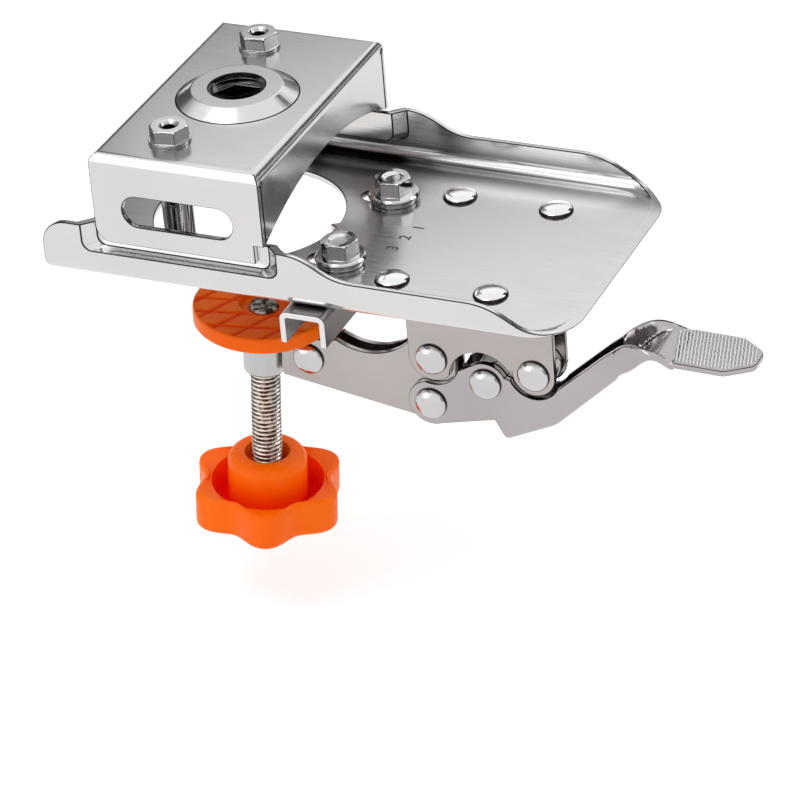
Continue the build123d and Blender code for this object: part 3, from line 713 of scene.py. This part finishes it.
rivets = {
    "radius": 4.3, "height": 2.2, "shank": 2.4, "pivotGrip": 4.7, "armGrip": 3.0,
    "tabRadius": 4.4, "tabHeight": 1.7, "tabShank": 2.6, "sheet": 1.5,
    "facets": 48, "rings": 24, "crown": 0.86, "merge": 0.002, "sharp": 50,
}
pivotSizes = {"Radius": rivets["radius"], "Height": rivets["height"], "Shank": rivets["shank"],
              "Grip": rivets["pivotGrip"], "Facets": rivets["facets"]}
armSizes = {**pivotSizes, "Grip": rivets["armGrip"]}
tabSizes = {"Radius": rivets["tabRadius"], "Height": rivets["tabHeight"],
            "Shank": rivets["tabShank"], "Grip": rivets["sheet"], "Facets": rivets["facets"]}


def rivetTree():
    tree, sizes, out = newTree("rivetHeads", pivotSizes)
    ball = addNode(tree, "GeometryNodeMeshUVSphere", {
        "Segments": sizes["Facets"], "Rings": rivets["rings"], "Radius": 1.0}).outputs[0]
    part = split(tree, addNode(tree, "GeometryNodeInputPosition").outputs[0])
    # the lower half of the ball becomes a flat underside; the crown is a little flattened
    top = calculate(tree, "POWER", calculate(tree, "MAXIMUM", part[2], 0.0), rivets["crown"])
    wide = [product(tree, part[k], sizes["Radius"]) for k in (0, 1)]
    spot = combine(tree, {0: wide[0], 1: wide[1], 2: product(tree, top, sizes["Height"])})
    reach = vectorMath(tree, "LENGTH", combine(tree, {0: part[0], 1: part[1]}))["Value"]
    dome = storeNumber(tree, ball, "rimPlace", reach)
    dome = changed(tree, "GeometryNodeSetPosition", dome, {"Position": spot})
    dome = changed(tree, "GeometryNodeMergeByDistance", dome, {"Distance": rivets["merge"]})
    pin = addNode(tree, "GeometryNodeMeshCylinder", {
        "Vertices": sizes["Facets"], "Radius": sizes["Shank"], "Depth": sizes["Grip"],
    }).outputs[0]
    low = combine(tree, {2: product(tree, sizes["Grip"], -0.5)})
    pin = changed(tree, "GeometryNodeTransform", pin, {"Translation": low})
    both = tree.nodes.new("GeometryNodeJoinGeometry")
    for piece in (pin, dome):
        tree.links.new(piece, both.inputs[0])
    small = changed(tree, "GeometryNodeTransform", both.outputs[0], {"Scale": (mm, mm, mm)})
    facing = {"Vector": namedInput(tree, "facing", "FLOAT_VECTOR")}
    turn = addNode(tree, "FunctionNodeAlignRotationToVector", facing, axis="Z").outputs[0]
    many = addNode(tree, "GeometryNodeInstanceOnPoints", {
        "Points": sizes["Geometry"], "Instance": small, "Rotation": turn,
    }).outputs[0]
    smooth = changed(tree, "GeometryNodeSetShadeSmooth", many)
    closeTree(tree, smooth, out, finishes["rivet"])
    return tree


headTree = rivetTree()


def rivetMesh(name, spots, sizes):
    points = bpy.data.meshes.new(name)
    points.from_pydata([spot for spot, facing in spots], [], [])
    layer = points.attributes.new("facing", "FLOAT_VECTOR", "POINT")
    for k, (spot, facing) in enumerate(spots):
        layer.data[k].vector = facing
    mesh = growMesh(points, headTree, sizes)
    mesh.set_sharp_from_angle(angle=math.radians(rivets["sharp"]))
    return mesh


def pivotHeads(name, pieceName, nodeNames, body, sizes):
    spots = []
    for node in nodeNames:
        low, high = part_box(node)
        middle, reach = (low + high) / 2, sizes["Grip"] * mm
        spots += [((middle.x, side * reach, middle.z), (0, side, 0)) for side in (-1, 1)]
    place(pieceName, rivetMesh(name, spots, sizes), None, body, "rivet_steel", *nodeNames)


def tabHeads():
    r = rivets
    tabLow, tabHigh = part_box("plate_rivets")
    inset, face = r["tabRadius"] * mm, r["sheet"] * mm
    spots = []
    for x in (tabLow.x + inset, tabHigh.x - inset):
        for y in (tabLow.y + inset, tabHigh.y - inset):
            spots += [((x, y, face), (0, 0, 1)), ((x, y, -face), (0, 0, -1))]
    mesh = rivetMesh("tabRivets", spots, tabSizes)
    place("tab_rivets", mesh, finishes["tabRivet"], "base", "rivet_steel", "plate_rivets")


basePivots = ["arm_pivot_rivet", "link_pivot_rivet"]
leverPivots = ["lever_pivot_rivet", "link_pin_rivet"]
pivotHeads("pivotRivets", "pivot_rivets", basePivots, "base", pivotSizes)
pivotHeads("leverRivets", "lever_rivets", leverPivots, "lever", pivotSizes)
pivotHeads("bossRivet", "boss_rivet_heads", ["boss_rivet"], "arm", armSizes)
tabHeads()
print("rivets set")


# Clamp screw, pad and knob, drawn upright in mm and then leant over with the screw's axis

screwAxis = {"x": 0.8, "z": -30.6, "lean": 4.4}
leaning = Matrix.Rotation(math.radians(screwAxis["lean"]), 4, "Y")
lean = Matrix.Translation((screwAxis["x"] * mm, 0, screwAxis["z"] * mm)) @ leaning
toMetres = Matrix.Scale(mm, 4)
toMm = Matrix.Scale(1 / mm, 4)

screw = {
    "radius": 3.92, "journal": 2.9, "shoulder": 0.7, "seat": 4.6, "end": -56.4,
    "chamfer": 0.8, "endHole": 0.6,
    "tip": 3.9, "tipHeight": 1.0, "tipHole": 1.2, "tipHoleDepth": 1.0,
    # small rounds, as distances outwards and upwards: the tip's foot, its crown and its hole
    "tipFoot": [(-0.1, 0.0), (0.0, 0.3)], "tipCrown": [(-0.2, -0.3), (-0.7, 0.0)],
    "holeRound": [(0.3, 0.0), (0.0, -0.2)],
    "facets": 72, "rows": 520, "threadTop": -1.2, "fadeTop": 1.5, "fadeEnd": 0.6,
    "wanderScale": 0.6, "wanderDetail": 2.0, "crest": (0.1, 0.42),
    "tipShade": 0.75, "tipShadeBelow": 0.5,     # painted shade: the riveted tip is made dark in its recess
}
threadSizes = {"Pitch": 1.25, "Depth": 0.55, "Wander": 0.22}


def threadTree():
    tree, sizes, out = newTree("rolledThread", threadSizes)
    part = split(tree, addNode(tree, "GeometryNodeInputPosition").outputs[0])
    turn = calculate(tree, "DIVIDE", calculate(tree, "ARCTAN2", part[1], part[0]), 2 * math.pi)
    climb = calculate(tree, "DIVIDE", part[2], sizes["Pitch"])
    wander = noiseShift(tree, screw["wanderScale"], screw["wanderDetail"], sizes["Wander"])
    phase = calculate(tree, "ADD", calculate(tree, "SUBTRACT", climb, turn), wander)
    saw = calculate(tree, "PINGPONG", phase, 0.5)
    root = remap(tree, saw, *screw["crest"], 1, 0, "SMOOTHSTEP")
    root = product(tree, root, namedInput(tree, "threaded"))
    # the tip's painted shade is added to the thread's depth
    depth = calculate(tree, "ADD", root, namedInput(tree, "tipShade"))
    stored = storeNumber(tree, sizes["Geometry"], "threadDepthAndTipShade", depth)
    outward = vectorMath(tree, "NORMALIZE", combine(tree, {0: part[0], 1: part[1]}))["Vector"]
    inward = product(tree, root, sizes["Depth"], -1.0)
    scaled = {0: outward, "Scale": inward}
    shift = addNode(tree, "ShaderNodeVectorMath", scaled, operation="SCALE").outputs[0]
    cut = changed(tree, "GeometryNodeSetPosition", stored, {"Offset": shift})
    closeTree(tree, cut, out, finishes["thread"])
    return tree


def screwMesh():
    s = screw
    radius, journal, seat, chamfer = s["radius"], s["journal"], s["seat"], s["chamfer"]
    low = s["end"] + chamfer
    span = s["threadTop"] - low
    rings = [(s["endHole"], s["end"]), (radius - chamfer, s["end"]), (radius, low)]
    rings += [(radius, low + span * k / s["rows"]) for k in range(1, s["rows"] + 1)]
    top = seat + s["tipHeight"]
    rings += [(radius, s["shoulder"]), (journal, s["shoulder"]), (journal, seat)]
    rings += profile(s["tip"], seat, s["tipFoot"]) + profile(s["tip"], top, s["tipCrown"])
    rings += profile(s["tipHole"], top, s["holeRound"])
    rings.append((s["tipHole"], seat - s["tipHoleDepth"]))
    mesh = loopMesh("clampScrew", rings, s["facets"], closed=False)
    layer = mesh.attributes.new("threaded", "FLOAT", "POINT")
    tipShade = mesh.attributes.new("tipShade", "FLOAT", "POINT")
    for k, v in enumerate(mesh.vertices):
        h = v.co.z / mm
        tipShade.data[k].value = s["tipShade"] if h > seat - s["tipShadeBelow"] else 0.0
        fade = min(1.0, (s["threadTop"] - h) / s["fadeTop"], (h - s["end"]) / s["fadeEnd"])
        layer.data[k].value = max(0.0, fade)
    mesh.transform(toMm)
    cut = growMesh(mesh, threadTree(), threadSizes)
    cut.transform(lean @ toMetres)
    return cut


place("clamp_screw_threaded", screwMesh(), None, "screw", "screw_steel", "clamp_screw")

pad = {
    "radius": 18.2, "top": 6.3, "low": 1.8, "edge": 0.8, "lowEdge": 0.4, "bore": 2.98,
    "recess": 6.4, "recessFloor": 4.6, "lip": 0.25, "lipRound": [(0.05, -0.08), (0.0, -0.3)],
    "facets": 288, "rows": 44, "edgeSteps": 6, "grooveShade": 0.9, "skin": 0.05,
}
grooveSizes = {"Gap": 6.3, "Width": 0.62, "Depth": 0.55, "First": 68.0, "Second": 16.0,
               "Top": pad["top"]}


def grooveTree():
    # two sets of straight grooves across the top, each turned by its own angle
    tree, sizes, out = newTree("padGrooves", grooveSizes)
    part = split(tree, addNode(tree, "GeometryNodeInputPosition").outputs[0])
    deepest = None
    for label in ("First", "Second"):
        angle = calculate(tree, "RADIANS", sizes[label])
        across = calculate(tree, "SUBTRACT", product(tree, part[0], calculate(tree, "SINE", angle)),
                           product(tree, part[1], calculate(tree, "COSINE", angle)))
        fold = calculate(tree, "PINGPONG", across, product(tree, sizes["Gap"], 0.5))
        cut = remap(tree, fold, 0.0, sizes["Width"], 1.0, 0.0)
        deepest = cut if deepest is None else calculate(tree, "MAXIMUM", deepest, cut)
    level = calculate(tree, "SUBTRACT", sizes["Top"], pad["skin"])
    cut = product(tree, deepest, calculate(tree, "GREATER_THAN", part[2], level))
    shift = combine(tree, {2: product(tree, cut, sizes["Depth"], -1.0)})
    # painted shade: the grooves get the redder cavity tone
    cavityShade = storeNumber(tree, sizes["Geometry"], "cavityShade", product(tree, cut, pad["grooveShade"]))
    done = changed(tree, "GeometryNodeSetPosition", cavityShade, {"Offset": shift})
    closeTree(tree, done, out, finishes["orange"])
    return tree


def padMesh():
    p = pad
    radius, top, edge, soft, recess = (p[k] for k in ("radius", "top", "edge", "lowEdge", "recess"))
    rings = [(p["bore"], p["low"]), (radius - soft, p["low"]), (radius, p["low"] + soft),
             (radius, top - edge)]
    for a in quarter(p["edgeSteps"], 1):
        rings.append((radius - edge * (1 - math.cos(a)), top - edge * (1 - math.sin(a))))
    outer, inner = radius - edge, recess + p["lip"]
    rings += [(outer + (inner - outer) * k / p["rows"], top) for k in range(p["rows"] + 1)]
    rings += profile(recess, top, p["lipRound"])
    rings += [(recess, p["recessFloor"]), (p["bore"], p["recessFloor"])]
    mesh = loopMesh("pressurePad", rings, p["facets"])
    mesh.transform(toMm)
    cut = growMesh(mesh, grooveTree(), grooveSizes)
    cut.transform(lean @ toMetres)
    return cut


place("pressure_pad_grooved", padMesh(), None, "pad", "orange_plastic", "pressure_pad")

knob = {
    "lobes": 6, "lobeAngle": -68.0, "reach": 20.6, "valley": 16.8,
    "rim": -46.6, "bottom": -57.4, "top": -39.3, "edge": 2.0, "rimEdge": 0.7, "dish": 1.3,
    "well": 14.7, "wellDepth": 7.9, "hub": 10.4, "crown": 3.0, "bore": 5.8, "boreDepth": 5.0,
    "nutFlats": 13.0, "nutDepth": 6.5, "nutRim": 6.0, "shaft": 3.95,
    "footInset": 0.4, "rimDrop": 0.2,
    # small rounds, as distances outwards and upwards: the well's lip and foot, the hub's and bore's
    "lipRound": [(0.5, 0.06), (0.13, -0.1), (0.0, -0.45)], "wellFoot": [(-0.4, 1.2), (-1.2, 0.0)],
    "hubFoot": [(1.0, 0.0), (0.3, 0.5), (0.0, 1.4)],
    "boreRound": [(0.5, 0.0), (0.12, -0.14), (0.0, -0.6)],
    "facets": 240, "edgeSteps": 6, "crownSteps": 8, "deepening": 0.8, "slack": 0.1,
}


def knobMesh():
    k = knob
    swing, mean = (k["reach"] - k["valley"]) / 2, (k["reach"] + k["valley"]) / 2

    def lobed(inset):
        def radius(angle):
            wave = math.cos(k["lobes"] * (angle - math.radians(k["lobeAngle"])))
            return mean - inset + swing * wave
        return radius

    def hexed(angle):
        part = (math.degrees(angle) + 360) % 60 - 30
        return k["nutFlats"] / 2 / math.cos(math.radians(part))

    bottom, rim, top, edge = k["bottom"], k["rim"], k["top"], k["edge"]
    well, hub, bore, crown = k["well"], k["hub"], k["bore"], k["crown"]
    bed, lip, rimEdge = rim - k["wellDepth"], rim - k["dish"], edge * k["rimEdge"]
    # from the shaft's hole beneath, through the nut's pocket, up the lobes, over the rim, down
    # into the well, up the hub and into its bore
    rings = [(k["shaft"], bottom + k["nutDepth"]), (hexed, bottom + k["nutDepth"]), (hexed, bottom),
             (lobed(k["nutRim"]), bottom), (lobed(edge + k["footInset"]), bottom)]
    for a in quarter(k["edgeSteps"]):
        rings.append((lobed(edge * (1 - math.sin(a))), bottom + edge * (1 - math.cos(a))))
    rings.append((lobed(0.0), (bottom + rim) / 2))
    for a in quarter(k["edgeSteps"]):
        height = rim - rimEdge * (1 - math.sin(a)) - k["rimDrop"]
        rings.append((lobed(rimEdge * (1 - math.cos(a))), height))
    rings += profile(well, lip, k["lipRound"]) + profile(well, bed, k["wellFoot"])
    rings += profile(hub, bed, k["hubFoot"])
    for a in quarter(k["crownSteps"]):
        rings.append((hub - crown * (1 - math.cos(a)), top - crown * (1 - math.sin(a))))
    rings += profile(bore, top, k["boreRound"])
    rings += [(bore, top - k["boreDepth"]), (k["shaft"], top - k["boreDepth"])]
    mesh = loopMesh("knob", rings, k["facets"])
    layer = mesh.attributes.new("cavityShade", "FLOAT", "POINT")     # painted shade, redder towards the well's bed
    for n, v in enumerate(mesh.vertices):
        reach, height = math.hypot(v.co.x, v.co.y) / mm, v.co.z / mm
        fall = (top - crown - height) / (top - crown - bed)
        inWell = reach < well + k["slack"] and height > bed - k["slack"]
        layer.data[n].value = max(0.0, min(1.0, fall)) ** k["deepening"] if inWell else 0.0
    mesh.transform(lean)
    return mesh


place("star_knob", knobMesh(), finishes["orange"], "screw", "orange_plastic", "knob")
print("screw, pad and knob set")


# Ridges pressed across the thumb pad, in mm; startHalf narrows to endHalf from narrowX to endX

ridges = {
    "count": 23, "firstX": 113.6, "pitch": 0.9, "slant": 0.27, "steps": 32, "step": 0.25,
    "startHalf": 8.3, "narrowX": 128.0, "endX": 134.6, "endHalf": 3.4, "margin": 0.8,
    "topStart": (107.9, -18.35), "topSlope": -0.0225,
    "wanderScale": 0.7, "wanderDetail": 2.0, "swellScale": 1.3, "swellDetail": 1.0, "facets": 10,
}
ridgeSizes = {"Width": 0.76, "Height": 0.2, "Wander": 0.5, "Swell": 0.3}


def ridgeTree():
    r = ridges
    tree, sizes, out = newTree("thumbRidges", ridgeSizes)
    line = changed(tree, "GeometryNodeMeshToCurve", sizes["Geometry"])
    wander = noiseShift(tree, r["wanderScale"], r["wanderDetail"], sizes["Wander"])
    shift = {"Offset": combine(tree, {0: wander})}
    line = changed(tree, "GeometryNodeSetPosition", line, shift)
    swell = noiseShift(tree, r["swellScale"], r["swellDetail"], sizes["Swell"])
    thick = {"Radius": calculate(tree, "ADD", swell, 1.0)}
    line = changed(tree, "GeometryNodeSetCurveRadius", line, thick)
    circle = {"Resolution": r["facets"], "Radius": 1.0}
    ring = addNode(tree, "GeometryNodeCurvePrimitiveCircle", circle).outputs[0]
    oval = combine(tree, {0: product(tree, sizes["Width"], 0.5), 1: sizes["Height"], 2: 1.0})
    ring = changed(tree, "GeometryNodeTransform", ring, {"Scale": oval})
    sweep = {"Profile Curve": ring, "Fill Caps": True}
    bars = changed(tree, "GeometryNodeCurveToMesh", line, sweep)
    bars = changed(tree, "GeometryNodeSetShadeSmooth", bars)
    closeTree(tree, bars, out, finishes["ridge"])
    return tree


def ridgeMesh():
    r = ridges
    startX, startZ = r["topStart"]
    verts, edges = [], []
    for k in range(r["count"]):
        before = None
        for step in range(-r["steps"], r["steps"] + 1):
            y = step * r["step"]
            x = r["firstX"] + r["pitch"] * k - r["slant"] * y
            taper = max(0.0, x - r["narrowX"]) / (r["endX"] - r["narrowX"])
            half = r["startHalf"] + (r["endHalf"] - r["startHalf"]) * taper - r["margin"]
            if abs(y) > half or x > r["endX"] - r["margin"]:
                before = None
                continue
            verts.append((x, y, startZ + r["topSlope"] * (x - startX)))
            if before is not None:
                edges.append((before, len(verts) - 1))
            before = len(verts) - 1
    mesh = bpy.data.meshes.new("thumbRidges")
    mesh.from_pydata(verts, edges, [])
    bars = growMesh(mesh, ridgeTree(), ridgeSizes)
    bars.transform(toMetres)
    return bars


place("thumb_ridges", ridgeMesh(), None, "lever", "lever_steel")
print("thumb ridges set")


# Figures of the drilling positions, etched in the plate beside the fence: figure, X and Y in mm

figures = {
    "marks": [("1", 44.6, 4.1), ("2", 43.3, -1.4), ("3", 42.4, -7.0)],
    "size": 4.2, "bold": 0.06, "turn": 90.0, "proud": 0.03, "level": 1.5, "merge": 0.001,
}


def figureMesh():
    f = figures
    turn = Matrix.Rotation(math.radians(f["turn"]), 4, "Z")
    shape = bmesh.new()
    for mark, x, y in f["marks"]:
        curve = bpy.data.curves.new("figure" + mark, "FONT")
        curve.body = mark
        curve.size = f["size"] * mm
        curve.align_x = curve.align_y = "CENTER"
        curve.extrude = f["proud"] * mm / 2
        curve.offset = f["bold"] * mm
        flat = addObject("figure" + mark, curve)
        mesh = evaluated(flat)
        bpy.data.objects.remove(flat)
        mesh.transform(Matrix.Translation((x * mm, y * mm, f["level"] * mm)) @ turn)
        shape.from_mesh(mesh)
    bmesh.ops.remove_doubles(shape, verts=shape.verts, dist=f["merge"] * mm)
    bmesh.ops.recalc_face_normals(shape, faces=shape.faces)
    mesh = bpy.data.meshes.new("etchedFigures")
    shape.to_mesh(mesh)
    shape.free()
    return mesh


place("etched_figures", figureMesh(), finishes["etched"], "base", "plate_steel")
print("figures etched")

# any node that no piece replaced still gets a finish
for node in nodes.values():
    if not node.hide_render:
        node.data.materials.clear()
        node.data.materials.append(finishes["plated"])
